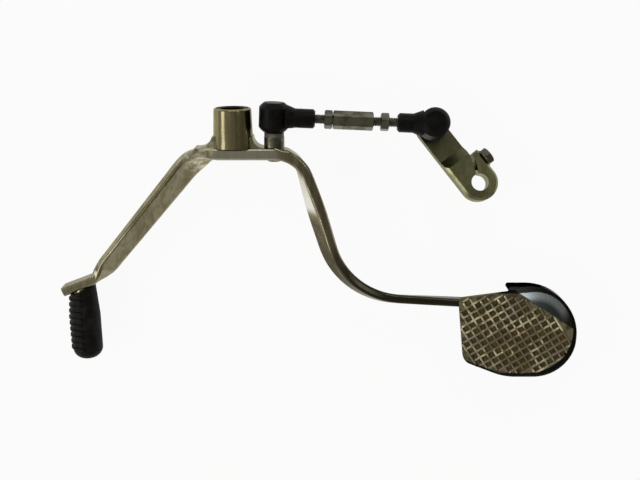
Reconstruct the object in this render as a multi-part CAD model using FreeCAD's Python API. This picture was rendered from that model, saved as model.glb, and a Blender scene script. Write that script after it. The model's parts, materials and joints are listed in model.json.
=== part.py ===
import FreeCAD, Part
import cmath
import math
import os

# Heel-toe gear shift lever of a motorbike, with its adjustable link and its shift arm.
# Frame: the origin is the middle of the pivot bore, +X points back to the heel,
# +Y points inboard along the pivot and +Z points up.
# Lengths are in millimetres and angles in degrees.

V = FreeCAD.Vector
X_AXIS = V(1, 0, 0)
Y_AXIS = V(0, 1, 0)
Z_AXIS = V(0, 0, 1)
ORIGIN = V(0, 0, 0)

# Pivot tube, bush and dust seals
tube_length = 24.0
tube_end_dia = 23.0
tube_root_dia = 25.0
tube_rim_round = 1.2
pivot_bore_dia = 14.0
bush_wall = 2.0
seal_wall = 2.8
seal_lip_clearance = 0.3
seal_thickness = 2.7
seal_inset = 0.3
retainer_hole_dia = 8.4

# Lever bar: one flat bar, on edge at the pivot and twisted along both arms
bar_thickness = 7.4
bar_height = 16.0
bar_edge_round = 1.8
shoulder_rise = 7.0
shoulder_toe_reach = 11.0
shoulder_heel_reach = 7.0
shoulder_sink = 4.6
shoulder_height = 12.7
toe_end_thickness = 6.0
toe_end_height = 12.4
toe_twist = 53.0
toe_twist_run = 22.0
toe_untwist_share = 0.14
toe_knee_x = -22.0
toe_elbow_x = -91.7
toe_elbow_y = -83.0
toe_tip_x = -113.5
toe_tip_y = -91.5
toe_tab_start = 4.5
toe_knee_radius = 30.0
toe_elbow_radius = 12.0
toe_drop = 4.0
toe_drop_share = 0.9
heel_end_thickness = 4.6
heel_end_height = 8.5
heel_twist = 36.0
heel_twist_run = 60.0
heel_untwist_share = 0.75
heel_knee_x = 40.0
heel_elbow_x = 69.3
heel_elbow_y = -96.0
heel_tip_x = 194.0
heel_tip_y = -102.2
heel_knee_radius = 20.0
heel_elbow_radius = 51.0
heel_drop = 3.75
heel_drop_share = 0.6
run_step = 8.0
turn_step = 10.0

# Toe peg
peg_x = -101.5
pin_dia = 12.0
pin_length = 44.0
rubber_dia = 19.2
rubber_root_dia = 15.8
rubber_swell = 22.0
rubber_reach = 51.8
rubber_clearance = 0.6
rubber_end_round = 7.0
rib_count = 10
rib_pitch = 4.2
rib_width = 2.2
rib_tip_width = 1.1
rib_height = 1.0
rib_last = 8.5

# Heel pad: one pressed sheet with a waffle tread and a rolled-down margin
pad_front_x = 143.6
pad_front_y = -110.9
pad_cut_x = 148.8
pad_cut_y = -155.3
pad_turn_x = 179.0
pad_outer_y = -167.5
pad_rear_x = 223.4
pad_inner_y = -103.6
pad_skirt_x = 176.0
pad_skirt_y = -106.4
pad_front_round = 3.5
pad_cut_round = 8.0
pad_turn_round = 60.0
pad_rear_outer_round = 27.0
pad_rear_inner_round = 35.0
pad_skirt_round = 1.5
pad_sheet = 2.2
pad_skirt = 11.0
pad_roll = 3.0
margin_peak_x = 180.5
margin_rear_y = -134.3
margin_slope = 24.0
pit_pitch = 5.0
pit_top = 3.7
pit_floor = 2.3
pit_depth = 1.1
pit_turn = 33.0
pit_edge = 2.6
pit_edge_rear = 7.0

# Ball joints of the link
ball_radius = 6.0
ball_clearance = 0.25
seat_wall = 1.35
stud_neck_radius = 3.0
stud_collar_radius = 6.3
stud_spigot_radius = 4.0
stud_sink = 0.9
rivet_head_radius = 5.2
rivet_head_height = 1.4
front_ball_x = 25.3
front_stud_reach = 18.3
rear_collar_length = 1.5
housing_radius = 9.2
housing_half_height = 9.0
housing_round = 11.0
joint_tilt = 14.0
mouth_clearance = 0.45
boot_clearance = 0.3
boot_bore_clearance = 0.08
boot_outer_radius = 6.1
boot_foot = 12.0
neck_radius = 5.9
neck_chamfer = 1.2
flare_start = 7.0
flare_end = 13.0
flare_radius = 8.2
front_neck_reach = 25.3
rear_neck_reach = 22.5

# Link: two threaded shanks in a hexagonal turnbuckle, with lock nuts
link_length = 98.5
link_angle = -2.5
shank_radius = 3.0
shank_start = 11.0
shank_gap = 5.7
thread_clearance = 0.06
turnbuckle_front = 36.3
turnbuckle_rear = 37.5
turnbuckle_flats = 10.0
nut_flats = 10.0
nut_thickness = 5.0
nut_clearance = 0.3
rear_nut_gap = 4.6
hex_chamfer = 0.9

# Shift arm and its pinch bolt, in a plane square to the rear ball stud
stud_roll = 20.0
arm_angle = -50.1
arm_width = 17.4
arm_ball_end_thickness = 6.0
arm_clamp_thickness = 10.0
arm_chamfer = 1.4
arm_step_reach = 18.5
arm_step_run = 6.0
hole_x = 45.6
hole_y = 2.8
shaft_bore_radius = 5.4
slit_angle = 22.0
slit_width = 2.0
bolt_back = 10.3
ear_half_width = 7.1
bolt_radius = 3.0
bolt_clearance = 0.25
bolt_depth = 6.0
bolt_head_flats = 10.0
bolt_head_height = 3.8
washer_radius = 5.8
washer_thickness = 1.2


def turned(outline):
    """A solid of revolution about Z, from a closed outline of (radius, height) points."""
    points = [V(radius, 0, height) for radius, height in outline]
    face = Part.Face(Part.makePolygon(points + points[:1]))
    return face.revolve(ORIGIN, Z_AXIS, 360)


def ring(outer_radius, inner_radius, low, high):
    """A plain sleeve about Z."""
    return turned([(inner_radius, low), (outer_radius, low), (outer_radius, high), (inner_radius, high)])


def put(shape, origin, along, up):
    """A copy of a shape, moved so that its X axis points along one way and its Z axis along another."""
    side = up.cross(along)
    matrix = FreeCAD.Matrix(along.x, side.x, up.x, origin.x,
                            along.y, side.y, up.y, origin.y,
                            along.z, side.z, up.z, origin.z,
                            0, 0, 0, 1)
    moved = shape.copy()
    moved.Placement = FreeCAD.Placement(matrix).multiply(shape.Placement)
    return moved


def rim(shape, radius, height):
    """The round edges of a shape about Z that have this radius and this height."""
    found = []
    for edge in shape.Edges:
        if not isinstance(edge.Curve, Part.Circle):
            continue
        near = abs(edge.Curve.Radius - radius) < 1e-4 and abs(edge.Curve.Center.z - height) < 1e-4
        if near:
            found.append(edge)
    return found


def hexagon(flats, low, high, bore_radius):
    """A hexagonal prism about Z with turned-down corners at both ends and a round bore."""
    corner = flats / math.sqrt(3)
    points = [V(corner, 0, low)]
    for step in range(1, 7):
        turn = math.radians(60 * step)
        points.append(V(corner * math.cos(turn), corner * math.sin(turn), low))
    prism = Part.Face(Part.makePolygon(points)).extrude(V(0, 0, high - low))
    slope = hex_chamfer * math.tan(math.radians(30))
    crown = turned([(0, low), (corner - hex_chamfer, low), (corner, low + slope),
                    (corner, high - slope), (corner - hex_chamfer, high), (0, high)])
    bore = Part.makeCylinder(bore_radius, high - low, V(0, 0, low))
    return prism.common(crown).cut(bore)


def rounded_face(corners, radii):
    """A flat face whose outline is straight runs joined by tangent arcs, from complex corner points."""
    count = len(corners)
    edges = []
    ends = []
    for index in range(count):
        corner, radius = corners[index], radii[index]
        way_in = corner - corners[index - 1]
        way_in = way_in / abs(way_in)
        turn = cmath.phase((corners[(index + 1) % count] - corner) / way_in)
        tangent = radius * math.tan(abs(turn) / 2)
        first = corner - tangent * way_in
        centre = first + 1j * math.copysign(radius, turn) * way_in
        middle = centre + (first - centre) * cmath.exp(0.5j * turn)
        last = centre + (first - centre) * cmath.exp(1j * turn)
        ends.append((first, last))
        if radius > 0:
            edges.append(Part.Arc(flat(first), flat(middle), flat(last)).toShape())
    for index in range(count):
        edges.append(Part.makeLine(flat(ends[index - 1][1]), flat(ends[index][0])))
    return Part.Face(Part.Wire(Part.__sortEdges__(edges)))


def flat(point):
    """A complex plan point as a vector."""
    return V(point.real, point.imag, 0)


def bend_stations(corners, radii):
    """Points, headings and distances along straight runs joined by tangent arcs."""
    heading = (corners[1] - corners[0]) / abs(corners[1] - corners[0])
    found = [(corners[0], heading)]
    for index, radius in enumerate(radii, start=1):
        corner = corners[index]
        turn = cmath.phase((corners[index + 1] - corner) / heading)
        arc_start = corner - radius * math.tan(abs(turn) / 2) * heading
        add_run(found, arc_start, heading)
        centre = arc_start + 1j * math.copysign(radius, turn) * heading
        steps = math.ceil(abs(turn) / math.radians(turn_step))
        for step in range(1, steps + 1):
            swing = cmath.exp(1j * turn * step / steps)
            found.append((centre + (arc_start - centre) * swing, heading * swing))
        heading = heading * cmath.exp(1j * turn)
    add_run(found, corners[-1], heading)
    distance = 0.0
    stations = []
    for index, (point, way) in enumerate(found):
        distance += abs(point - found[index - 1][0]) if index else 0.0
        stations.append((point, way, distance))
    return stations


def add_run(found, end, heading):
    """Add evenly spaced stations of a straight run, up to its end."""
    start = found[-1][0]
    steps = math.floor(abs(end - start) / run_step) + 1
    if abs(end - start) < 1e-6:
        return
    for step in range(1, steps + 1):
        found.append((start + (end - start) * step / steps, heading))


def ease(share):
    """A smooth rise from 0 to 1."""
    share = min(max(share, 0.0), 1.0)
    return share * share * (3 - 2 * share)


def bar_section(centre, across, upright, thickness, height):
    """The rounded rectangle of the bar, as a wire about its centre."""
    a, b, r = thickness / 2, height / 2, bar_edge_round
    slant = r * (1 - math.sqrt(0.5))
    edges = []
    for sa, sb in ((1, 1), (-1, 1), (-1, -1), (1, -1)):
        ahead = [(a * sa, (b - r) * sb), ((a - slant) * sa, (b - slant) * sb), ((a - r) * sa, b * sb)]
        if sa * sb < 0:
            ahead.reverse()
        edges.append([centre + across * u + upright * v for u, v in ahead])
    shapes = []
    for index, corner in enumerate(edges):
        shapes.append(Part.Arc(*corner).toShape())
        shapes.append(Part.makeLine(corner[2], edges[(index + 1) % 4][0]))
    return Part.Wire(shapes)


def bar_arm(corners, radii, end_thickness, end_height, drop, drop_share, twist, twist_run, untwist_share):
    """One arm of the lever: the bar's section carried along a bent path, tapering, falling and twisting."""
    stations = bend_stations(corners, radii)
    total = stations[-1][2]
    wires = []
    for point, heading, distance in stations:
        share = distance / total
        twisted = ease(distance / twist_run) * ease((1 - share) / untwist_share)
        tilt = math.radians(twist) * twisted
        side = flat(heading * 1j)
        across = side * math.cos(tilt) + Z_AXIS * math.sin(tilt)
        upright = Z_AXIS * math.cos(tilt) - side * math.sin(tilt)
        centre = flat(point) - Z_AXIS * drop * ease(share / drop_share)
        thickness = bar_thickness + (end_thickness - bar_thickness) * share
        height = bar_height + (end_height - bar_height) * share
        wires.append(bar_section(centre, across, upright, thickness, height))
    return Part.makeLoft(wires, True, False)


# Values that follow from the driving dimensions
bar_inner_y = -tube_length / 2
bar_mid_y = bar_inner_y - bar_thickness / 2
bar_outer_y = bar_inner_y - bar_thickness
bar_line = complex(0.0, bar_mid_y)
toe_knee = complex(toe_knee_x, bar_mid_y)
toe_elbow = complex(toe_elbow_x, toe_elbow_y) + bar_line
toe_tip = complex(toe_tip_x, toe_tip_y) + bar_line
tab_way = (toe_tip - toe_elbow) / abs(toe_tip - toe_elbow)
tab_start = toe_elbow + tab_way * toe_tab_start
heel_knee = complex(heel_knee_x, bar_mid_y)
heel_elbow = complex(heel_elbow_x, heel_elbow_y) + bar_line
heel_tip = complex(heel_tip_x, heel_tip_y) + bar_line
bush_outer_radius = pivot_bore_dia / 2 + bush_wall
seal_pocket_depth = seal_thickness + seal_inset
seal_bore_radius = pivot_bore_dia / 2 + seal_lip_clearance
seal_outer_radius = seal_bore_radius + seal_wall
pad_floor_z = heel_end_height / 2 - heel_drop
pad_top_z = pad_floor_z + pad_sheet
front_ball = V(front_ball_x, bar_inner_y + front_stud_reach, 0)
turnbuckle_length = link_length - turnbuckle_front - turnbuckle_rear
thread_engagement = (turnbuckle_length - shank_gap) / 2
clamp_radius = arm_width / 2 + hole_y


def knee_start(knee, elbow, radius):
    """Where the bar leaves its straight middle, on the line through the pivot."""
    back = -1 if knee.real > 0 else 1
    turn = abs(cmath.phase((elbow - knee) / -back))
    return knee + back * radius * math.tan(turn / 2)


def tube_form():
    """The outside of the pivot tube: a slight cone with a rounded inboard rim, standing on the bar."""
    half = tube_length / 2
    cone = turned([(0, -half), (tube_root_dia / 2, -half), (tube_end_dia / 2, half), (0, half)])
    cone = cone.makeFillet(tube_rim_round, rim(cone, tube_end_dia / 2, half))
    return put(cone, ORIGIN, X_AXIS, Y_AXIS)


def make_pivot_tube():
    """The tapered tube that is welded to the bar, with pockets for the bush and the seals."""
    half = tube_length / 2
    inside = Part.makeCylinder(bush_outer_radius, tube_length, V(0, -half, 0), Y_AXIS)
    pockets = [Part.makeCylinder(seal_outer_radius, seal_pocket_depth, V(0, low, 0), Y_AXIS)
               for low in (-half, half - seal_pocket_depth)]
    return tube_form().cut([inside] + pockets)


def make_pivot_bush():
    """The plain bush pressed into the tube."""
    half = tube_length / 2 - seal_pocket_depth
    return put(ring(bush_outer_radius, pivot_bore_dia / 2, -half, half), ORIGIN, X_AXIS, Y_AXIS)


def make_dust_seal(side):
    """One rubber dust seal in its pocket, at the inboard end (1) or the outboard end (-1)."""
    seat = tube_length / 2 - seal_pocket_depth
    seal = ring(seal_outer_radius, seal_bore_radius, seat, seat + seal_thickness)
    return put(seal, ORIGIN, X_AXIS, Y_AXIS * side)


def shoulder_arc(reach):
    """Three points of the hollow curve from the tube's side to the bar, where the reach points."""
    root = math.copysign(tube_root_dia / 2, reach)
    bow = 1 - math.sqrt(0.5)
    return [V(root, bar_inner_y + shoulder_rise, 0),
            V(root + bow * reach, bar_inner_y + bow * shoulder_rise, 0), V(root + reach, bar_inner_y, 0)]


def make_shoulders():
    """The forged shoulders on both sides of the pivot tube, as one block with its foot inside the bar."""
    toe_side = shoulder_arc(-shoulder_toe_reach)
    heel_side = shoulder_arc(shoulder_heel_reach)
    sink = V(0, shoulder_sink, 0)
    corners = [heel_side[2], heel_side[2] - sink, toe_side[2] - sink, toe_side[2]]
    edges = [Part.Arc(*toe_side).toShape(), Part.Arc(*heel_side).toShape(),
             Part.makeLine(toe_side[0], heel_side[0])]
    for start, end in zip(corners, corners[1:]):
        edges.append(Part.makeLine(start, end))
    face = Part.Face(Part.Wire(Part.__sortEdges__(edges)))
    face.translate(Z_AXIS * (-shoulder_height / 2))
    return face.extrude(Z_AXIS * shoulder_height)


def make_lever_arm():
    """The bar from toe to heel, with shoulders at the pivot tube and a seat for the front ball stud."""
    toe_start = knee_start(toe_knee, toe_elbow, toe_knee_radius)
    heel_start = knee_start(heel_knee, heel_elbow, heel_knee_radius)
    toe_arm = bar_arm([toe_start, toe_knee, toe_elbow, tab_start], [toe_knee_radius, toe_elbow_radius],
                      toe_end_thickness, toe_end_height, toe_drop, toe_drop_share,
                      toe_twist, toe_twist_run, toe_untwist_share)
    heel_arm = bar_arm([heel_start, heel_knee, heel_elbow, heel_tip], [heel_knee_radius, heel_elbow_radius],
                       heel_end_thickness, heel_end_height, heel_drop, heel_drop_share,
                       -heel_twist, heel_twist_run, heel_untwist_share)
    tab_section = bar_section(flat(tab_start) - Z_AXIS * toe_drop, flat(tab_way * 1j), Z_AXIS,
                              toe_end_thickness, toe_end_height)
    tab = Part.Face(tab_section).extrude(flat(toe_tip - tab_start))
    section = bar_section(flat(toe_start), Y_AXIS, Z_AXIS, bar_thickness, bar_height)
    middle = Part.Face(section).extrude(flat(heel_start - toe_start))
    tube = tube_form()
    middle = middle.fuse(make_shoulders()).cut(tube)
    arm = middle.fuse([toe_arm.cut(tube), tab, heel_arm]).removeSplitter()
    retainer_hole = Part.makeCylinder(retainer_hole_dia / 2, bar_thickness, V(0, bar_inner_y, 0), -Y_AXIS)
    stud_seat = V(front_ball.x, bar_inner_y - stud_sink, 0)
    stud_hole = Part.makeCylinder(stud_spigot_radius, bar_thickness, stud_seat, -Y_AXIS)
    collar_seat = Part.makeCylinder(stud_collar_radius, front_stud_reach, stud_seat, Y_AXIS)
    rivet_seat = Part.makeCylinder(rivet_head_radius, bar_thickness, V(front_ball.x, bar_outer_y, 0), -Y_AXIS)
    above_tail = Part.makeBox(heel_tip.real, -pad_outer_y, bar_height,
                              V(pad_front_x, pad_outer_y, pad_floor_z))
    return arm.cut([retainer_hole, stud_hole, collar_seat, rivet_seat, above_tail])


def make_toe_pin(lever_arm):
    """The steel pin welded to the end of the toe arm, coped to the bar."""
    root = V(peg_x, toe_elbow.imag + (peg_x - toe_elbow.real) * tab_way.imag / tab_way.real, -toe_drop)
    pin = Part.makeCylinder(pin_dia / 2, pin_length, root, -Y_AXIS)
    coped = pin.cut(lever_arm).Solids
    return max(coped, key=lambda solid: solid.Volume), root


def make_toe_rubber(pin_root):
    """The rubber sleeve on the toe pin: a domed barrel with ribs on its front half and a slanted root."""
    outer = rubber_dia / 2
    root_radius = rubber_root_dia / 2
    body = turned([(0, 0), (root_radius, 0), (outer, rubber_swell), (outer, rubber_reach), (0, rubber_reach)])
    body = body.makeFillet(rubber_end_round, rim(body, outer, rubber_reach))
    over = Part.makeBox(2 * rubber_dia, 2 * rubber_dia, 2 * rubber_dia,
                        V(-rubber_dia, -rubber_dia, -toe_end_thickness / 2 - rubber_clearance))
    over = put(over, ORIGIN, V(-tab_way.real, 0, tab_way.imag), V(tab_way.imag, 0, tab_way.real))
    ribs = []
    for index in range(rib_count):
        middle = rubber_reach - rib_last - rib_pitch * index
        low, high = middle - rib_width / 2, middle + rib_width / 2
        tip_low, tip_high = middle - rib_tip_width / 2, middle + rib_tip_width / 2
        ground = root_radius + (outer - root_radius) * min(middle / rubber_swell, 1)
        deep = ground - rib_height
        tip = ground + rib_height
        outline = [V(0, deep, low), V(0, ground, low), V(0, tip, tip_low),
                   V(0, tip, tip_high), V(0, ground, high), V(0, deep, high)]
        face = Part.Face(Part.makePolygon(outline + outline[:1]))
        ribs.append(face.revolve(ORIGIN, Z_AXIS, 180).cut(over))
    body = body.cut([over, Part.makeCylinder(pin_dia / 2, pin_length)])
    return put(body.fuse(ribs), pin_root, X_AXIS, -Y_AXIS)


def inset(corners, gaps):
    """Corners of a polygon whose sides are moved in by their own gaps; side n starts at corner n."""
    count = len(corners)
    lines = []
    for index in range(count):
        way = corners[(index + 1) % count] - corners[index]
        way = way / abs(way)
        lines.append((corners[index] + 1j * way * gaps[index], way))
    found = []
    for index in range(count):
        before, before_way = lines[index - 1]
        after, after_way = lines[index]
        cross = (before_way.conjugate() * after_way).imag
        reach = ((after - before).conjugate() * after_way).imag / cross
        found.append(before + before_way * reach)
    return found


def margin_line():
    """The straight edge between the tread and the sloping margin, as its two end points."""
    share = (margin_peak_x - pad_front_x) / (pad_skirt_x - pad_front_x)
    peak = complex(margin_peak_x, pad_front_y + share * (pad_skirt_y - pad_front_y))
    return complex(pad_rear_x, margin_rear_y), peak


def margin_wedge(drop):
    """What the sloping margin takes off a block, lowered by a drop."""
    rear, peak = margin_line()
    along = (peak - rear) / abs(peak - rear)
    out = -1j * along
    width = 2 * pad_rear_inner_round
    fall = width * math.tan(math.radians(margin_slope))
    top = pad_top_z - drop
    start = rear - along * pad_rear_inner_round
    corners = [flat(start) + V(0, 0, top), flat(start + out * width) + V(0, 0, top - fall),
               flat(start + out * width) + V(0, 0, top + fall), flat(start) + V(0, 0, top + fall)]
    face = Part.Face(Part.makePolygon(corners + corners[:1]))
    return face.extrude(flat(along) * (abs(peak - rear) + width))


def rolled_sheet(inset_by, front_x):
    """The pad's outside form, set in by a wall: a block with rounded rear corners and a rolled top edge."""
    top = pad_top_z - inset_by
    low = pad_top_z - pad_skirt - inset_by
    corners = [complex(front_x, pad_inner_y - inset_by), complex(front_x, pad_outer_y + inset_by),
               complex(pad_rear_x - inset_by, pad_outer_y + inset_by),
               complex(pad_rear_x - inset_by, pad_inner_y - inset_by)]
    block = rounded_face(corners, [0, 0, pad_rear_outer_round - inset_by, pad_rear_inner_round - inset_by])
    block.translate(V(0, 0, low))
    block = block.extrude(V(0, 0, top - low))
    edges = []
    for edge in block.Edges:
        box = edge.BoundBox
        at_top = box.ZMin > top - 1e-4
        if at_top and box.XMax > front_x + 1e-3:
            edges.append(edge)
    block = block.makeFillet(pad_roll - inset_by, edges)
    return block.cut(margin_wedge(inset_by / math.cos(math.radians(margin_slope))))


def make_heel_pad():
    """The pressed pad: a thin sheet, rolled down round its rear, with rows of sunk square pits."""
    run_out = pad_roll + pad_sheet
    sheet = rolled_sheet(0, pad_front_x - run_out).cut(rolled_sheet(pad_sheet, pad_front_x - 2 * run_out))
    front = [complex(pad_front_x, pad_front_y), complex(pad_cut_x, pad_cut_y),
             complex(pad_turn_x, pad_outer_y), complex(pad_rear_x, pad_outer_y)]
    plan_corners = front + [complex(pad_rear_x, pad_inner_y), complex(pad_skirt_x, pad_inner_y),
                            complex(pad_skirt_x, pad_skirt_y)]
    plan = rounded_face(plan_corners, [pad_front_round, pad_cut_round, pad_turn_round, pad_rear_outer_round,
                                       pad_rear_inner_round, pad_skirt_round, 0])
    plan.translate(V(0, 0, pad_top_z - pad_skirt))
    sheet = sheet.common(plan.extrude(V(0, 0, pad_skirt)))
    gaps = [pit_edge, pit_edge, pad_roll + pit_edge, pit_edge_rear, pit_edge, pit_edge]
    tread_corners = inset(front + list(margin_line()), gaps)
    rear_round = pad_rear_outer_round - pit_edge_rear
    tread = rounded_face(tread_corners, [0, pad_cut_round - pit_edge, 0, rear_round, 0, 0])
    return sheet.cut(Part.makeCompound(tread_pits(tread)))


def tread_pits(tread):
    """Square pits with sloping walls, on a turned square grid, wherever a centre lies on the tread."""
    middle = tread.BoundBox.Center
    reach = math.ceil(tread.BoundBox.DiagonalLength / 2 / pit_pitch)
    turn = cmath.exp(1j * math.radians(pit_turn))
    slope = (pit_top - pit_floor) / pit_depth
    rise = pit_depth / 4
    pits = []
    for row in range(-reach, reach + 1):
        for column in range(-reach, reach + 1):
            centre = complex(middle.x, middle.y) + turn * complex(row, column) * pit_pitch
            if not tread.isInside(flat(centre), 1e-3, True):
                continue
            wires = []
            levels = ((pit_top + slope * rise, pad_top_z + rise), (pit_floor, pad_top_z - pit_depth))
            for width, height in levels:
                square = [flat(centre + turn * complex(u, v) * width / 2) + V(0, 0, height)
                          for u, v in ((1, 1), (-1, 1), (-1, -1), (1, -1))]
                wires.append(Part.makePolygon(square + square[:1]))
            pits.append(Part.makeLoft(wires, True, True))
    return pits


def make_ball_stud(collar_length, spigot_length):
    """A ball stud about Z with its ball at the origin: neck, collar and a riveted spigot below."""
    foot = -boot_foot
    ball = Part.makeSphere(ball_radius)
    face = foot - collar_length
    tail = face - spigot_length
    stem = turned([(0, 0), (stud_neck_radius, 0), (stud_neck_radius, foot), (stud_collar_radius, foot),
                   (stud_collar_radius, face), (stud_spigot_radius, face), (stud_spigot_radius, tail),
                   (rivet_head_radius, tail), (stud_spigot_radius, tail - rivet_head_height),
                   (0, tail - rivet_head_height)])
    return ball.fuse(stem).removeSplitter()


def mouth_radius(depth):
    """How wide the housing's mouth is at a depth below the ball's centre, so that the neck can tilt."""
    tilt = math.radians(joint_tilt)
    return stud_neck_radius / math.cos(tilt) + depth * math.tan(tilt) + mouth_clearance


def mouth_cone():
    """The cone that opens the housing and the seat towards the stud."""
    return Part.makeCone(mouth_radius(0), mouth_radius(boot_foot), boot_foot, ORIGIN, -Z_AXIS)


def make_rod_end(neck_reach):
    """A moulded ball joint housing: a drum rounded about the ball, with a flared neck along X."""
    drum = Part.makeCylinder(housing_radius, 2 * housing_half_height, V(0, 0, -housing_half_height))
    drum = drum.common(Part.makeSphere(housing_round))
    neck = Part.makeCylinder(neck_radius, neck_reach, ORIGIN, X_AXIS)
    end_edges = [edge for edge in neck.Edges if edge.BoundBox.XMin > neck_reach - 1e-4]
    neck = neck.makeChamfer(neck_chamfer, end_edges)
    flare = Part.makeCone(flare_radius, neck_radius, flare_end - flare_start, V(flare_start, 0, 0), X_AXIS)
    above_boot = Part.makeBox(flare_end, 2 * flare_radius, neck_radius + flare_radius,
                              V(0, -flare_radius, -neck_radius))
    socket = Part.makeSphere(ball_radius + ball_clearance + seat_wall)
    shank_hole = Part.makeCylinder(shank_radius, neck_reach - shank_start, V(shank_start, 0, 0), X_AXIS)
    body = drum.fuse([neck, flare.common(above_boot)])
    return body.cut([socket, mouth_cone(), shank_hole]).removeSplitter()


def make_ball_seat():
    """The plastic cup between the ball and the housing."""
    inner = ball_radius + ball_clearance
    return Part.makeSphere(inner + seat_wall).cut([Part.makeSphere(inner), mouth_cone()])


def make_boot():
    """The rubber cup on the stud's collar, hollowed to the round of the housing."""
    cup = Part.makeCylinder(boot_outer_radius, boot_foot, ORIGIN, -Z_AXIS)
    hollow = Part.makeSphere(housing_round + boot_clearance)
    neck = Part.makeCylinder(stud_neck_radius + boot_bore_clearance, boot_foot, ORIGIN, -Z_AXIS)
    return cup.cut([hollow, neck])


def make_shank(end):
    """A threaded shank, along X from the housing's neck."""
    return Part.makeCylinder(shank_radius, end - shank_start, V(shank_start, 0, 0), X_AXIS)


def along_link(shape, start):
    """Turn a piece about Z so that it lies along X, starting at a distance."""
    return put(shape, V(start, 0, 0), -Z_AXIS, X_AXIS)


def make_shift_arm(level):
    """The clamp arm: a straight bar with a stepped face, a shaft bore, a slit and an ear for the bolt."""
    low = level - arm_ball_end_thickness
    clamp_top = low + arm_clamp_thickness
    thickness = arm_clamp_thickness
    hole = V(hole_x, hole_y, low)
    bolt_place = hole - X_AXIS * bolt_back
    bar = Part.makeBox(hole_x, arm_width, thickness, V(0, -arm_width / 2, low))
    ball_end = Part.makeCylinder(arm_width / 2, thickness, V(0, 0, low))
    clamp = Part.makeCylinder(clamp_radius, thickness, hole)
    ear_length = bolt_back + ear_half_width
    ear = Part.makeBox(ear_length, clamp_radius, thickness, hole - X_AXIS * ear_length)
    arm = bar.fuse([ball_end, clamp, ear]).removeSplitter()
    top_edges = [edge for edge in arm.Edges if edge.BoundBox.ZMin > clamp_top - 1e-4]
    arm = arm.makeChamfer(arm_chamfer, top_edges)
    step_x = hole_x - arm_step_reach
    back_x = -arm_width
    step = [V(back_x, -arm_width, level), V(step_x - arm_step_run, -arm_width, level),
            V(step_x, -arm_width, clamp_top), V(back_x, -arm_width, clamp_top)]
    step = Part.Face(Part.makePolygon(step + step[:1])).extrude(V(0, 2 * arm_width, 0))
    slit_turn = math.radians(slit_angle)
    along_slit = V(-math.cos(slit_turn), math.sin(slit_turn), 0)
    slit = Part.makeBox(arm_width + bolt_back, slit_width, thickness, V(0, -slit_width / 2, 0))
    slit = put(slit, hole, along_slit, Z_AXIS)
    bore = Part.makeCylinder(shaft_bore_radius, thickness, hole)
    stud_hole = Part.makeCylinder(stud_spigot_radius, thickness, V(0, 0, low))
    bolt_mid = bolt_place + Z_AXIS * (thickness / 2)
    slit_mid = bolt_mid + Y_AXIS * (bolt_back * math.tan(slit_turn))
    ear_hole = Part.makeCylinder(bolt_radius + bolt_clearance, clamp_radius, slit_mid, Y_AXIS)
    thread_hole = Part.makeCylinder(bolt_radius, slit_mid.y - bolt_mid.y + bolt_depth, slit_mid, -Y_AXIS)
    arm = arm.cut([step, slit, bore, stud_hole, ear_hole, thread_hole])
    return arm, bolt_mid


def make_pinch_bolt():
    """The pinch bolt about Z: a hexagon head above the washer and a shank below."""
    seat = clamp_radius + washer_thickness
    head = hexagon(bolt_head_flats, seat, seat + bolt_head_height, bolt_radius)
    shank_top = seat + bolt_head_height - hex_chamfer
    shank = Part.makeCylinder(bolt_radius, bolt_depth + shank_top, V(0, 0, -bolt_depth))
    return head.fuse(shank).removeSplitter()


def make_pinch_washer():
    """The washer under the bolt's head."""
    return ring(washer_radius, bolt_radius + bolt_clearance, clamp_radius, clamp_radius + washer_thickness)


def link_pieces():
    """The link from the front ball to the rear ball, with the shift arm at its rear end."""
    turn = math.radians(link_angle)
    rod_way = V(math.cos(turn), math.sin(turn), 0)
    rod_side = V(-math.sin(turn), math.cos(turn), 0)
    roll = math.radians(stud_roll)
    swing = math.radians(arm_angle)
    rear_up = Z_AXIS * math.cos(roll) + rod_side * math.sin(roll)
    arm_way = rod_way * math.cos(swing) + rear_up.cross(rod_way) * math.sin(swing)
    rear_ball = front_ball + rod_way * link_length
    front_end = turnbuckle_front + thread_engagement
    rear_end = turnbuckle_rear + thread_engagement
    nut = hexagon(nut_flats, -nut_thickness, 0, shank_radius)
    turnbuckle = hexagon(turnbuckle_flats, 0, turnbuckle_length, shank_radius + thread_clearance)

    def front(shape):
        return put(shape, front_ball, rod_way, rod_side)

    def rear(shape):
        return put(shape, rear_ball, rod_way * -1, rear_up)

    def on_arm(shape):
        return put(shape, rear_ball, arm_way, rear_up)

    front_collar = front_stud_reach - boot_foot + stud_sink
    front_spigot = bar_thickness - stud_sink
    level = -boot_foot - rear_collar_length
    arm, bolt_mid = make_shift_arm(level)
    bolt = put(make_pinch_bolt(), bolt_mid, Z_AXIS, Y_AXIS)
    washer = put(make_pinch_washer(), bolt_mid, Z_AXIS, Y_AXIS)
    return {
        "front_ball_stud": put(make_ball_stud(front_collar, front_spigot), front_ball, X_AXIS, Y_AXIS),
        "front_boot": put(make_boot(), front_ball, X_AXIS, Y_AXIS),
        "front_rod_end": front(make_rod_end(front_neck_reach)),
        "front_ball_seat": front(make_ball_seat()),
        "front_shank": front(make_shank(front_end)),
        "front_lock_nut": front(along_link(nut, turnbuckle_front - nut_clearance)),
        "turnbuckle": front(along_link(turnbuckle, turnbuckle_front)),
        "rear_lock_nut": rear(along_link(nut, turnbuckle_rear - rear_nut_gap)),
        "rear_shank": rear(make_shank(rear_end)),
        "rear_rod_end": rear(make_rod_end(rear_neck_reach)),
        "rear_ball_seat": rear(make_ball_seat()),
        "rear_boot": on_arm(make_boot()),
        "rear_ball_stud": on_arm(make_ball_stud(rear_collar_length, arm_ball_end_thickness)),
        "shift_arm": on_arm(arm),
        "pinch_bolt": on_arm(bolt),
        "pinch_washer": on_arm(washer),
    }


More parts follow.
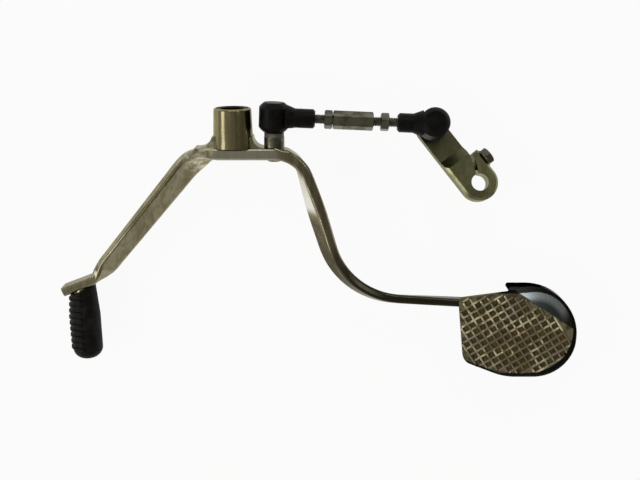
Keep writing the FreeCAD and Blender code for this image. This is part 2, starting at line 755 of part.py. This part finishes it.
def lever_pieces():
    """The lever itself, from the toe peg to the heel pad."""
    lever_arm = make_lever_arm()
    toe_pin, pin_root = make_toe_pin(lever_arm)
    return {
        "lever_arm": lever_arm,
        "pivot_tube": make_pivot_tube(),
        "pivot_bush": make_pivot_bush(),
        "dust_seal_inboard": make_dust_seal(1),
        "dust_seal_outboard": make_dust_seal(-1),
        "toe_pin": toe_pin,
        "toe_rubber": make_toe_rubber(pin_root),
        "heel_pad": make_heel_pad(),
    }


os.makedirs("parts", exist_ok=True)
pieces = {**lever_pieces(), **link_pieces()}
for name, shape in pieces.items():
    print(f"{name}: {len(shape.Solids)} solid, {len(shape.Faces)} faces, valid {shape.isValid()}")
    shape.exportStep(f"parts/{name}.step")
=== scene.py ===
import json
import math

import bpy
import numpy as np
from mathutils import Matrix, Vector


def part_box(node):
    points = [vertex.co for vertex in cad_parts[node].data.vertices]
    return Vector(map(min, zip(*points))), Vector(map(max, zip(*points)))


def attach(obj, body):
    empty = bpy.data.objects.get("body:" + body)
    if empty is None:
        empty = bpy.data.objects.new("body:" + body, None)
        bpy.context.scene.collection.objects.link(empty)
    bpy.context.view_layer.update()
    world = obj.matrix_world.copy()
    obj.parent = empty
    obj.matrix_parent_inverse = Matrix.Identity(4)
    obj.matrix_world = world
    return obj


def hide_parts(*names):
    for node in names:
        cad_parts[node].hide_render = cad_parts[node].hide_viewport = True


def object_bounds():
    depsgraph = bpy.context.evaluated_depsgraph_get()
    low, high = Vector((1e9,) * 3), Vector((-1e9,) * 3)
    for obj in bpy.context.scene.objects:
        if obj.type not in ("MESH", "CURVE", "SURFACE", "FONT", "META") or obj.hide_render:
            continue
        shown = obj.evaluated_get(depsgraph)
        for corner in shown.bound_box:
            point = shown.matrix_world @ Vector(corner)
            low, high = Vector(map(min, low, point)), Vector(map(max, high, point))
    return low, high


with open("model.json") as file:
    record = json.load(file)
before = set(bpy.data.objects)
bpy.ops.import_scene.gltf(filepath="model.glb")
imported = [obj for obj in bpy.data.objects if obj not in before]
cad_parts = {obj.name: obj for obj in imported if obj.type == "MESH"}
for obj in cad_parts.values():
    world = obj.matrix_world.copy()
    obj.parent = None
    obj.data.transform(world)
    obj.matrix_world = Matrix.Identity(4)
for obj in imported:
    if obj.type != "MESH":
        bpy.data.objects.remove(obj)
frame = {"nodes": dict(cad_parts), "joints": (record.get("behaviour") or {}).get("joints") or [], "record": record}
cad_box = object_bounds()
scene = bpy.context.scene
nodes = frame["nodes"]
joints = {joint["name"]: joint for joint in frame["joints"]}

# Lengths are in metres. mm(x) writes a workshop size.


def mm(length):
    """A length in millimetres as metres."""
    return length / 1000.0


def unit(vector):
    """A vector's direction, with a length of 1."""
    return vector / np.linalg.norm(vector)


# Places and levels read from the frame
front_ball = np.array(joints["front_swing"]["pos_m"])
rear_ball = np.array(joints["rear_swing"]["pos_m"])
rod_way = np.array(joints["link_extend"]["axis"])
pad_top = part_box("heel_pad")[1].z
tube_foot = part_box("pivot_tube")[0].y

# Camera: past vertical, with the picture's right along +X
view_tilt = math.radians(16.0)
view_distance = 0.5245
view_target = np.array([0.053607, -0.0721, 0.0])
image_width = 640.0
focal_pixels = 820.0
sensor_width = 36.0

# Floor, and the points that the lamps face
floor_gap = mm(0.5)
floor_reach = 40.0
floor_white = 0.93
floor_tone = (0.86, 0.86, 0.85, 1)
lever_middle = (0.05, -0.06, 0.0)
heel_side = (0.20, -0.12, 0.0)

# The heel arm's upper inner corner, and the plan direction from it towards the outer side
heel_corner = np.array([mm(48.3), mm(-44.0)])
heel_out = np.array([0.9424, 0.3346])

# The toe arm's upper corner, and the plan direction across it
toe_corner = np.array([mm(-47.73), mm(-40.0)])
toe_out = np.array([0.7681, -0.6403])

# Threads of the link, with places measured along it from each ball
thread_pitch = mm(1.0)
thread_depth = mm(0.55)
thread_chamfer = mm(1.2)
rows_per_pitch = 8
thread_columns = 48
right_hand = 1
left_hand = -1
shank_radius = mm(3.0)
shank_start = mm(11.0)
front_neck_end = mm(25.3)
front_shank_end = mm(45.8)
rear_neck_end = mm(22.5)
rear_shank_end = mm(47.0)

# The pad's pits, on a turned square grid, and the ribs between them
pit_depth = mm(1.1)
pit_pitch = mm(5.0)
pit_turn = math.radians(33.0)
pit_slack = mm(0.05)
rib_width = mm(1.5)
rib_crest = mm(0.55)
rib_sink = mm(0.04)
rib_fade = mm(0.8)
rib_rows = 40
rib_columns = 9

# The pad in plan: the straight edge of its margin, the middle and reach of its rim, and its front edge
margin_start = np.array([mm(223.4), mm(-134.3)])
margin_end = np.array([mm(180.5), mm(-105.8)])
margin_way = unit(margin_end - margin_start)
margin_out = np.array([margin_way[1], -margin_way[0]])
rim_middle = (mm(192.0), mm(-135.5))
rim_reach = mm(31.9)
front_edge = np.array([mm(148.8), mm(-155.3)])
front_edge_end = np.array([mm(179.0), mm(-167.5)])
front_way = unit(front_edge_end - front_edge)
front_in = np.array([-front_way[1], front_way[0]])


class Term:
    """A value in a finish. Arithmetic on it adds the Math nodes that work it out."""

    def __init__(self, finish, socket):
        self.finish = finish
        self.socket = socket

    def math(self, operation, *values):
        """A Math node on some values."""
        return self.finish.node("ShaderNodeMath", {"operation": operation}, dict(enumerate(values)))

    def __add__(self, other):
        return self.math("ADD", self, other)

    def __radd__(self, other):
        return self.math("ADD", other, self)

    def __sub__(self, other):
        return self.math("SUBTRACT", self, other)

    def __rsub__(self, other):
        return self.math("SUBTRACT", other, self)

    def __mul__(self, other):
        return self.math("MULTIPLY", self, other)

    def __rmul__(self, other):
        return self.math("MULTIPLY", other, self)

    def __pow__(self, other):
        return self.math("POWER", self, other)

    def __rpow__(self, other):
        return self.math("POWER", other, self)

    def __abs__(self):
        return self.math("ABSOLUTE", self)

    def most(self, other):
        """The larger of two values."""
        return self.math("MAXIMUM", self, other)

    def rise(self, low, high):
        """A smooth rise from 0 at one value to 1 at another."""
        return self.finish.node("ShaderNodeMapRange", {"interpolation_type": "SMOOTHSTEP"},
                                {"Value": self, "From Min": low, "From Max": high})

    def fall(self, low, high):
        """A smooth fall from 1 at one value to 0 at another."""
        return 1 - self.rise(low, high)

    def band(self, start, full, fading, gone):
        """A smooth rise from 0 to 1 over the first two values, and a fall to 0 over the last two."""
        return self.rise(start, full) * self.fall(fading, gone)

    def part(self, axis):
        """One part of a vector: X, Y or Z."""
        return self.finish.node("ShaderNodeSeparateXYZ", {}, {0: self}, axis)


class Finish:
    """A material, with one method that adds any node and short ones for the nodes used most."""

    def __init__(self, name):
        self.material = bpy.data.materials.new(name)
        self.material.use_nodes = True
        self.tree = self.material.node_tree
        self.tree.nodes.clear()
        self.place = self.node("ShaderNodeTexCoord", {}, {}, "Object")

    def node(self, kind, settings, sockets, output=0):
        """Add a node: its settings first, then the values or links of its sockets."""
        made = self.tree.nodes.new(kind)
        for key, value in settings.items():
            setattr(made, key, value)
        for key, value in sockets.items():
            if isinstance(value, Term):
                self.tree.links.new(value.socket, made.inputs[key])
            else:
                made.inputs[key].default_value = value
        return None if output is None else Term(self, made.outputs[output])

    def stretched(self, scale):
        """The place on the piece, with its axes scaled."""
        return self.node("ShaderNodeMapping", {}, {"Vector": self.place, "Scale": scale})

    def noise(self, size, detail=3.0, rough=0.5, place=None):
        """Cloudy noise from 0 to 1, with features of about this size in metres."""
        return self.node("ShaderNodeTexNoise", {"noise_dimensions": "3D"},
                         {"Vector": place or self.place, "Scale": 1.0 / size, "Detail": detail,
                          "Roughness": rough})

    def specks(self, size):
        """The distance to the nearest of many scattered points, in cells of this size."""
        return self.node("ShaderNodeTexVoronoi", {"feature": "F1"},
                         {"Vector": self.place, "Scale": 1.0 / size}, "Distance")

    def blend(self, share, first, second):
        """A mix of two colours, which are inputs 6 and 7 and output 2 of a Mix node."""
        return self.node("ShaderNodeMix", {"data_type": "RGBA"},
                         {"Factor": share, 6: first, 7: second}, 2)

    def across(self, start, way):
        """How far a place lies from a plan point, measured along a plan direction."""
        x, y = self.place.part("X"), self.place.part("Y")
        return (x - float(start[0])) * float(way[0]) + (y - float(start[1])) * float(way[1])

    def bump(self, height, depth, normal=None):
        """A bump of a height from 0 to 1 times a depth in metres."""
        sockets = {"Height": height, "Distance": depth, "Strength": 1.0}
        if normal is not None:
            sockets["Normal"] = normal
        return self.node("ShaderNodeBump", {}, sockets)

    def close(self, **sockets):
        """The surface itself. Underscores in a socket's name stand for spaces."""
        named = {key.replace("_", " "): value for key, value in sockets.items()}
        surface = self.node("ShaderNodeBsdfPrincipled", {}, named)
        self.node("ShaderNodeOutputMaterial", {}, {"Surface": surface}, None)
        return self.material


def plated_steel(name, pale, deep, satin):
    """Warm smoky plating on a ground bar, between a pale and a deep tone and as dull as satin says: cloudy
    haze, drawn streaks along the pivot, small dark pits and a slight waviness. The bar is grey under the
    pivot tube, and paler and mottled in front of it. The heel arm's inner face has a painted highlight below
    the knee and painted shade after it, the toe arm's upper corner has a painted shade line, and painted
    shade darkens the bar towards the heel."""
    streak_brown = (0.15, 0.13, 0.062, 1)
    mottled_cream = (0.70, 0.67, 0.49, 1)
    under_tube_grey = (0.50, 0.485, 0.40, 1)
    painted_crease_shade = (0.075, 0.068, 0.03, 1)
    painted_highlight_white = (0.90, 0.885, 0.83, 1)
    painted_shade_brown = (0.085, 0.07, 0.048, 1)
    pit_brown = (0.10, 0.085, 0.05, 1)
    heel_painted_shade_black = (0.032, 0.029, 0.020, 1)
    edge_tint = (0.7, 0.68, 0.6, 1)
    made = Finish(name)
    x, y = made.place.part("X"), made.place.part("Y")
    out = 0 - y
    haze = made.noise(mm(22), detail=4, rough=0.55).rise(0.38, 0.68)
    mottle = made.noise(mm(4), detail=4, rough=0.6).rise(0.42, 0.62)
    streaks = made.noise(mm(2.6), rough=0.6, place=made.stretched((1.0, 0.05, 1.0))).rise(0.40, 0.66)
    grain = made.noise(mm(1.1), rough=0.6, place=made.stretched((0.12, 1.0, 1.0)))
    pits = made.specks(mm(2.3)).fall(0.05, 0.16)
    beside = x.band(mm(-36), mm(-24), mm(-14), mm(-9)) * y.rise(mm(-34), mm(-22))
    # Paler grey under the pivot tube, set by place alone.
    middle = x.band(mm(-16), mm(-9), mm(22), mm(34)) * y.fall(tube_foot - mm(0.6), tube_foot)
    # Painted shade: a dark line painted along the toe arm's upper corner.
    off_crease = abs(made.across(toe_corner, toe_out))
    crease = off_crease.fall(mm(0.5), mm(1.3)) * x.fall(mm(-34), mm(-28)) * out.fall(mm(58), mm(80))
    inner = x.rise(mm(37), mm(40)) * made.across(heel_corner, heel_out).fall(mm(-0.9), mm(-0.1))
    # Painted highlight: the heel arm's inner face is painted near white below the knee.
    painted_highlight = inner * out.band(mm(28), mm(34), mm(50), mm(57))
    # Painted shade on the heel arm's inner face further down, mottled.
    inner_painted_shade = inner * out.rise(mm(53), mm(63))
    # Painted shade: the bar is painted darker towards the heel.
    heelward_painted_shade = x.rise(mm(34), mm(60)) * out.rise(mm(66), mm(106))
    colour = made.blend(haze, pale, deep)
    colour = made.blend(streaks * 0.55, colour, streak_brown)
    colour = made.blend(beside * mottle * 0.85, colour, mottled_cream)
    colour = made.blend(middle * 0.6, colour, under_tube_grey)
    colour = made.blend(crease * 0.8, colour, painted_crease_shade)
    colour = made.blend(painted_highlight * 0.95, colour, painted_highlight_white)
    colour = made.blend(inner_painted_shade * (0.75 + 0.2 * mottle), colour, painted_shade_brown)
    colour = made.blend(pits * 0.4, colour, pit_brown)
    colour = made.blend(heelward_painted_shade * 0.93, colour, heel_painted_shade_black)
    rough = satin + 0.09 * haze + 0.05 * grain + 0.15 * pits + 0.12 * beside
    wave = made.bump(made.noise(mm(7), detail=2, rough=0.4), mm(0.20))
    normal = made.bump(grain, mm(0.006), wave)
    return made.close(Base_Color=colour, Metallic=1.0, Roughness=rough, Specular_Tint=edge_tint,
                      Normal=normal)


def zinc_steel():
    """Zinc plate on turned and hexagonal steel: satin, darker and faintly yellow in patches."""
    clean_zinc = (0.17, 0.163, 0.125, 1)
    yellowed_zinc = (0.085, 0.079, 0.054, 1)
    made = Finish("zinc_plated_steel")
    patches = made.noise(mm(6), detail=4, rough=0.6).rise(0.40, 0.66)
    grain = made.noise(mm(0.5), rough=0.6)
    colour = made.blend(patches, clean_zinc, yellowed_zinc)
    rough = 0.27 + 0.14 * patches + 0.08 * grain
    return made.close(Base_Color=colour, Metallic=1.0, Roughness=rough, Normal=made.bump(grain, mm(0.010)))


def black_rubber():
    """Moulded rubber: matt black, greyer where dust sits, with a fine grain."""
    clean_black = (0.007, 0.0065, 0.006, 1)
    dusty_black = (0.022, 0.021, 0.019, 1)
    made = Finish("black_rubber")
    dust = made.noise(mm(7), detail=4, rough=0.6).rise(0.42, 0.75)
    grain = made.noise(mm(0.45), detail=2, rough=0.6)
    colour = made.blend(dust, clean_black, dusty_black)
    rough = 0.46 + 0.22 * dust + 0.08 * grain
    return made.close(Base_Color=colour, Roughness=rough, Specular_IOR_Level=0.10,
                      Normal=made.bump(grain, mm(0.03)))


def grey_rubber():
    """Soft rubber of the front boot, bleached grey by grease and dust."""
    greased_grey = (0.09, 0.088, 0.062, 1)
    dusty_grey = (0.22, 0.215, 0.155, 1)
    made = Finish("grey_rubber")
    dust = made.noise(mm(4), detail=4, rough=0.6).rise(0.40, 0.70)
    colour = made.blend(dust, greased_grey, dusty_grey)
    return made.close(Base_Color=colour, Roughness=0.45 + 0.2 * dust)


def black_moulding():
    """Satin black moulding of the ball joint housings."""
    deep_black = (0.0025, 0.0024, 0.0018, 1)
    worn_black = (0.007, 0.0064, 0.0048, 1)
    made = Finish("black_moulding")
    cloud = made.noise(mm(5)).rise(0.40, 0.70)
    grain = made.noise(mm(0.35), detail=2)
    colour = made.blend(cloud, deep_black, worn_black)
    rough = 0.40 + 0.16 * cloud
    return made.close(Base_Color=colour, Roughness=rough, Specular_IOR_Level=0.10,
                      Normal=made.bump(grain, mm(0.02)))


def tread_steel():
    """The pressed pad: ridges worn to cream and grey in patches, pits dulled by a brown film, a sloping margin
    beyond a straight edge whose colour is a painted reflection (painted shade at its start, teal further on, a
    pale painted highlight band near the rim), and a glossy rim painted black as a dark reflection. The rim is
    where the distance from a stadium's middle line, or from the slanted front edge, is near the outline."""
    dull_flat = (0.11, 0.094, 0.056, 1)
    worn_flat = (0.27, 0.24, 0.145, 1)
    dull_ridge = (0.22, 0.195, 0.125, 1)
    cream_ridge = (0.95, 0.90, 0.62, 1)
    grey_ridge = (0.36, 0.345, 0.30, 1)
    olive_film = (0.20, 0.165, 0.05, 1)
    brown_film = (0.20, 0.115, 0.048, 1)
    soot_brown = (0.06, 0.05, 0.03, 1)
    slope_start_painted_shade = (0.05, 0.05, 0.03, 1)
    slope_shade = (0.075, 0.092, 0.09, 1)
    slope_painted_highlight = (0.42, 0.48, 0.50, 1)
    rim_painted_dark_reflection = (0.022, 0.022, 0.022, 1)
    edge_tint = (0.3, 0.3, 0.3, 1)
    made = Finish("waffle_tread_steel")
    above = made.place.part("Z") - pad_top
    sunk = (0 - above).rise(mm(0.03), mm(0.5))
    crest = above.rise(mm(0.10), mm(0.42))
    beyond = made.across(margin_start, margin_out).rise(mm(-0.3), mm(0.3))
    # Painted shade: the margin is dark near its start and lighter further along.
    along = made.across(margin_start, margin_way).rise(mm(9), mm(18))
    rearward = (made.place.part("X") - rim_middle[0]).most(0.0)
    sideward = made.place.part("Y") - rim_middle[1]
    reach = (rearward ** 2 + sideward ** 2) ** 0.5
    edge = reach.rise(rim_reach - mm(4.2), rim_reach - mm(3.4))
    # Painted highlight band on the margin near the rim.
    painted_highlight_band = reach.rise(rim_reach - mm(10.5), rim_reach - mm(6.0))
    front = made.across(front_edge, front_in).fall(mm(1.0), mm(2.0))
    rim = edge.most(front)
    gloss = beyond.most(rim)
    wear = made.noise(mm(5), rough=0.6).rise(0.40, 0.62)
    film = made.noise(mm(12), rough=0.6).rise(0.40, 0.62)
    soot = made.noise(mm(3.2), rough=0.6).rise(0.45, 0.65)
    bare = made.noise(mm(15), detail=2).rise(0.40, 0.56)
    grey = made.noise(mm(24), detail=2).rise(0.48, 0.60)
    flat = made.blend(wear, dull_flat, worn_flat)
    ridge = made.blend(wear * bare, dull_ridge, cream_ridge)
    ridge = made.blend(grey * 0.5, ridge, grey_ridge)
    ridge = made.blend(crest, flat, ridge)
    pit = made.blend(film, olive_film, brown_film)
    pit = made.blend(soot * 0.75, pit, soot_brown)
    # The margin's colour is a painted reflection: teal shade, a pale painted highlight band, and painted shade at
    # its start.
    slope = made.blend(painted_highlight_band, slope_shade, slope_painted_highlight)
    slope = made.blend(along, slope_start_painted_shade, slope)
    colour = made.blend(sunk, ridge, pit)
    colour = made.blend(beyond, colour, slope)
    # The glossy rim and the front edge are painted black as a dark reflection.
    colour = made.blend(rim, colour, rim_painted_dark_reflection)
    metal = 0.6 + 0.4 * gloss
    rough = (0.24 + 0.10 * film + 0.14 * sunk) * (1 - gloss) + 0.10 * gloss
    wave = made.bump(made.noise(mm(2.2), detail=2) * (1 - gloss), mm(0.09))
    return made.close(Base_Color=colour, Metallic=metal, Roughness=rough, Specular_Tint=edge_tint,
                      Normal=wave)


def seat_plastic():
    """Natural bearing plastic of the ball cups."""
    fresh_plastic = (0.80, 0.77, 0.70, 1)
    aged_plastic = (0.70, 0.67, 0.60, 1)
    made = Finish("seat_plastic")
    cloud = made.noise(mm(3))
    colour = made.blend(cloud, fresh_plastic, aged_plastic)
    return made.close(Base_Color=colour, Roughness=0.40 + 0.1 * cloud)


def bearing_bronze():
    """Sintered bronze of the pivot bush, with fine open pores."""
    bare_bronze = (0.58, 0.40, 0.20, 1)
    pore_brown = (0.24, 0.16, 0.08, 1)
    made = Finish("bearing_bronze")
    pores = made.specks(mm(0.6)).fall(0.10, 0.30)
    colour = made.blend(pores, bare_bronze, pore_brown)
    return made.close(Base_Color=colour, Metallic=1.0, Roughness=0.36 + 0.2 * pores)


def round_mesh(name, forms, material):
    """One mesh of closed round forms, each an array with rows of points along it and columns round it. The
    first and last rows are poles."""
    verts = []
    faces = []
    first = 0
    for points in forms:
        rows, columns = points.shape[:2]
        verts += [points[:1, 0], points[1:-1].reshape(-1, 3), points[-1:, 0]]
        row = first + 1 + np.arange(rows - 3)[:, None] * columns
        here = np.arange(columns)
        after = (here + 1) % columns
        quads = np.stack([row + here, row + after, row + columns + after, row + columns + here], -1)
        end = first + 1 + (rows - 3) * columns
        pole = np.full_like(here, first)
        far_pole = np.full_like(here, end + columns)
        start_fan = np.stack([pole, pole + 1 + after, pole + 1 + here], -1)
        end_fan = np.stack([far_pole, end + here, end + after], -1)
        faces += quads.reshape(-1, 4).tolist() + start_fan.tolist() + end_fan.tolist()
        first = end + columns + 1
    mesh = bpy.data.meshes.new(name)
    mesh.from_pydata(np.vstack(verts), [], faces)
    mesh.validate()
    mesh.polygons.foreach_set("use_smooth", np.ones(len(mesh.polygons), bool))
    mesh.materials.append(material)
    piece = bpy.data.objects.new(name, mesh)
    scene.collection.objects.link(piece)
    return piece


def threaded_shank(name, ball, way, neck_end, end, hand, material):
    """A shank along a line: radius = crest less depth times a triangle wave of distance minus turn, with the
    thread running out at the neck and chamfered at the tip."""
    steps = int((end - neck_end) / thread_pitch * rows_per_pitch)
    thread = np.linspace(neck_end - thread_pitch, end, steps)
    distance = np.concatenate([[shank_start, shank_start], thread, [end]])
    turn = np.arange(thread_columns) / thread_columns
    phase = (distance[:, None] / thread_pitch - hand * turn[None, :]) % 1.0
    groove = np.abs(2 * phase - 1)
    run_in = np.clip((distance - neck_end + thread_pitch) / thread_pitch, 0, 1)[:, None]
    chamfer = np.clip((distance - end + thread_chamfer) / thread_chamfer, 0, 1)[:, None]
    crest = shank_radius - thread_depth * chamfer
    radius = np.minimum(shank_radius - thread_depth * groove * run_in, crest)
    radius[0] = 0.0
    radius[-1] = 0.0
    side = unit(np.cross(way, (0.0, 0.0, 1.0)))
    spin = 2 * np.pi * turn[:, None]
    round_way = np.cos(spin) * side + np.sin(spin) * np.cross(unit(way), side)
    points = ball + distance[:, None, None] * way + radius[..., None] * round_way[None]
    return round_mesh(name, [points], material)


def tread_ribs(name, pad, material):
    """Half-round ribs on the lines between the pits: offset = half the width times the cosine of an angle,
    rise = crest times its sine, and both fall to nothing at the ends. The lines follow from the pits'
    floors."""
    places = np.empty(len(pad.data.vertices) * 3)
    pad.data.vertices.foreach_get("co", places)
    places = places.reshape(-1, 3)
    floors = places[np.abs(places[:, 2] - pad_top + pit_depth) < pit_slack, :2]
    cosine, sine = math.cos(pit_turn), math.sin(pit_turn)
    ways = np.array([[cosine, sine, 0.0], [-sine, cosine, 0.0]])
    grid = floors @ ways[:, :2].T
    shift = np.angle(np.exp(2j * np.pi * grid / pit_pitch).mean(0)) * pit_pitch / (2 * np.pi)
    cells = np.unique(np.round((grid - shift) / pit_pitch).astype(int), axis=0)
    ribs = []
    for axis in (0, 1):
        other = 1 - axis
        # The angle runs one way on the first axis and the other way on the second: all faces look outward
        angle = np.linspace(0, np.pi, rib_columns)[:: 2 * axis - 1]
        for line in range(cells[:, axis].min() - 1, cells[:, axis].max() + 1):
            beside = cells[(cells[:, axis] == line) | (cells[:, axis] == line + 1), other]
            ends = (np.array([beside.min(), beside.max()]) + [-0.5, 0.5]) * pit_pitch + shift[other]
            along = np.linspace(ends[0], ends[1], rib_rows)
            fade = np.sqrt(np.clip(np.minimum(along - ends[0], ends[1] - along) / rib_fade, 0, 1))[:, None]
            across = (line + 0.5) * pit_pitch + shift[axis] + rib_width / 2 * np.cos(angle) * fade
            points = across[..., None] * ways[axis] + along[:, None, None] * ways[other]
            points[..., 2] = pad_top - rib_sink + rib_crest * np.sin(angle) * fade
            ribs.append(points)
    return round_mesh(name, ribs, material)


finishes = {
    "plated_steel": plated_steel("warm_plated_steel", pale=(0.335, 0.305, 0.21, 1),
                                 deep=(0.265, 0.242, 0.16, 1), satin=0.15),
    "tread_steel": tread_steel(),
    "zinc_steel": zinc_steel(),
    "black_rubber": black_rubber(),
    "black_moulding": black_moulding(),
    "seat_plastic": seat_plastic(),
    "bearing_bronze": bearing_bronze(),
}
own_finishes = {
    "shift_arm": plated_steel("olive_plated_steel", pale=(0.27, 0.278, 0.142, 1),
                              deep=(0.11, 0.108, 0.06, 1), satin=0.22),
    "pivot_tube": plated_steel("drawn_plated_steel", pale=(0.30, 0.268, 0.152, 1),
                               deep=(0.225, 0.20, 0.10, 1), satin=0.15),
    "front_boot": grey_rubber(),
}
for subpart in frame["record"]["subparts"]:
    node = subpart["node"]
    mesh = nodes[node].data
    mesh.materials.clear()
    mesh.materials.append(own_finishes.get(node, finishes[subpart["material_slot"]]))

front_thread = threaded_shank("front_threaded_shank", front_ball, rod_way, front_neck_end, front_shank_end,
                              right_hand, finishes["zinc_steel"])
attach(front_thread, "front_end")
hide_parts("front_shank")
rear_thread = threaded_shank("rear_threaded_shank", rear_ball, -rod_way, rear_neck_end, rear_shank_end,
                             left_hand, finishes["zinc_steel"])
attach(rear_thread, "rear_end")
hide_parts("rear_shank")
waffle = tread_ribs("tread_ribs", nodes["heel_pad"], finishes["tread_steel"])
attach(waffle, "lever")


def aim(item, spot, right, back):
    """Put a camera or lamp at a spot, with the directions to its right and behind it given."""
    columns = np.column_stack([right, np.cross(back, right), back, spot])
    item.matrix_world = Matrix(np.vstack([columns, [0, 0, 0, 1]]).tolist())


def add_camera():
    """The camera of the photograph: past vertical, looking down on the lever."""
    lens = bpy.data.cameras.new("camera")
    lens.sensor_width = sensor_width
    lens.lens = sensor_width * focal_pixels / image_width
    camera = bpy.data.objects.new("camera", lens)
    scene.collection.objects.link(camera)
    back = np.array([0.0, math.sin(view_tilt), math.cos(view_tilt)])
    aim(camera, view_target + view_distance * back, np.array([1.0, 0.0, 0.0]), back)
    scene.camera = camera


def add_floor():
    """A wide pale floor just under the lever, mostly plain white to the camera and in reflections."""
    level = cad_box[0][2] - floor_gap
    corners = [(-floor_reach, -floor_reach, level), (floor_reach, -floor_reach, level),
               (floor_reach, floor_reach, level), (-floor_reach, floor_reach, level)]
    mesh = bpy.data.meshes.new("floor")
    mesh.from_pydata(corners, [], [(0, 1, 2, 3)])
    made = Finish("pale_floor")
    seen = made.node("ShaderNodeLightPath", {}, {}, "Is Camera Ray")
    glossy = made.node("ShaderNodeLightPath", {}, {}, "Is Glossy Ray")
    through = made.node("ShaderNodeLightPath", {}, {}, "Is Transmission Ray")
    matt = made.node("ShaderNodeBsdfDiffuse", {}, {"Color": floor_tone})
    white = made.node("ShaderNodeEmission", {}, {"Color": (1, 1, 1, 1), "Strength": 1.0})
    share = (seen + glossy + through) * floor_white
    surface = made.node("ShaderNodeMixShader", {}, {0: share, 1: matt, 2: white})
    made.node("ShaderNodeOutputMaterial", {}, {"Surface": surface}, None)
    mesh.materials.append(made.material)
    floor = bpy.data.objects.new("floor", mesh)
    scene.collection.objects.link(floor)


def add_lamp(name, spot, target, width, height, power):
    """A soft rectangular lamp that faces a point, with its height along Y where it can."""
    lamp = bpy.data.lights.new(name, "AREA")
    lamp.shape = "RECTANGLE"
    lamp.size = width
    lamp.size_y = height
    lamp.energy = power
    holder = bpy.data.objects.new(name, lamp)
    scene.collection.objects.link(holder)
    back = unit(np.array(spot) - np.array(target))
    aim(holder, spot, unit(np.cross((0.0, 1.0, 0.0), back)), back)


class Surround(Finish):
    """The world, whose place is the direction that a ray leaves in."""

    def __init__(self, name):
        world = bpy.data.worlds.new(name)
        world.use_nodes = True
        scene.world = world
        self.tree = world.node_tree
        self.tree.nodes.clear()
        self.place = self.node("ShaderNodeTexCoord", {}, {}, "Generated")


def add_world():
    """Soft room light, dimmer towards the right and brighter low down in front."""
    left_wall = (0.46, 0.45, 0.42, 1)
    right_wall = (0.17, 0.16, 0.14, 1)
    front_wall = (0.62, 0.60, 0.56, 1)
    room = Surround("studio")
    right = room.place.part("X").rise(-0.7, 0.6)
    front = (0 - room.place.part("Y")).rise(0.45, 0.85)
    colour = room.blend(right, left_wall, right_wall)
    colour = room.blend(front, colour, front_wall)
    light = room.node("ShaderNodeBackground", {}, {"Color": colour, "Strength": 1.0})
    room.node("ShaderNodeOutputWorld", {}, {"Surface": light}, None)


add_camera()
add_floor()
add_lamp("left_softbox", spot=(-0.9, -0.30, 0.65), target=lever_middle, width=0.36, height=1.2, power=3.4)
add_lamp("back_softbox", spot=(0.20, 1.25, 0.75), target=lever_middle, width=1.4, height=0.5, power=5.0)
add_lamp("right_softbox", spot=(0.75, 0.30, 0.90), target=heel_side, width=0.40, height=0.40, power=0.7)
add_world()

scene.view_settings.view_transform = "Standard"
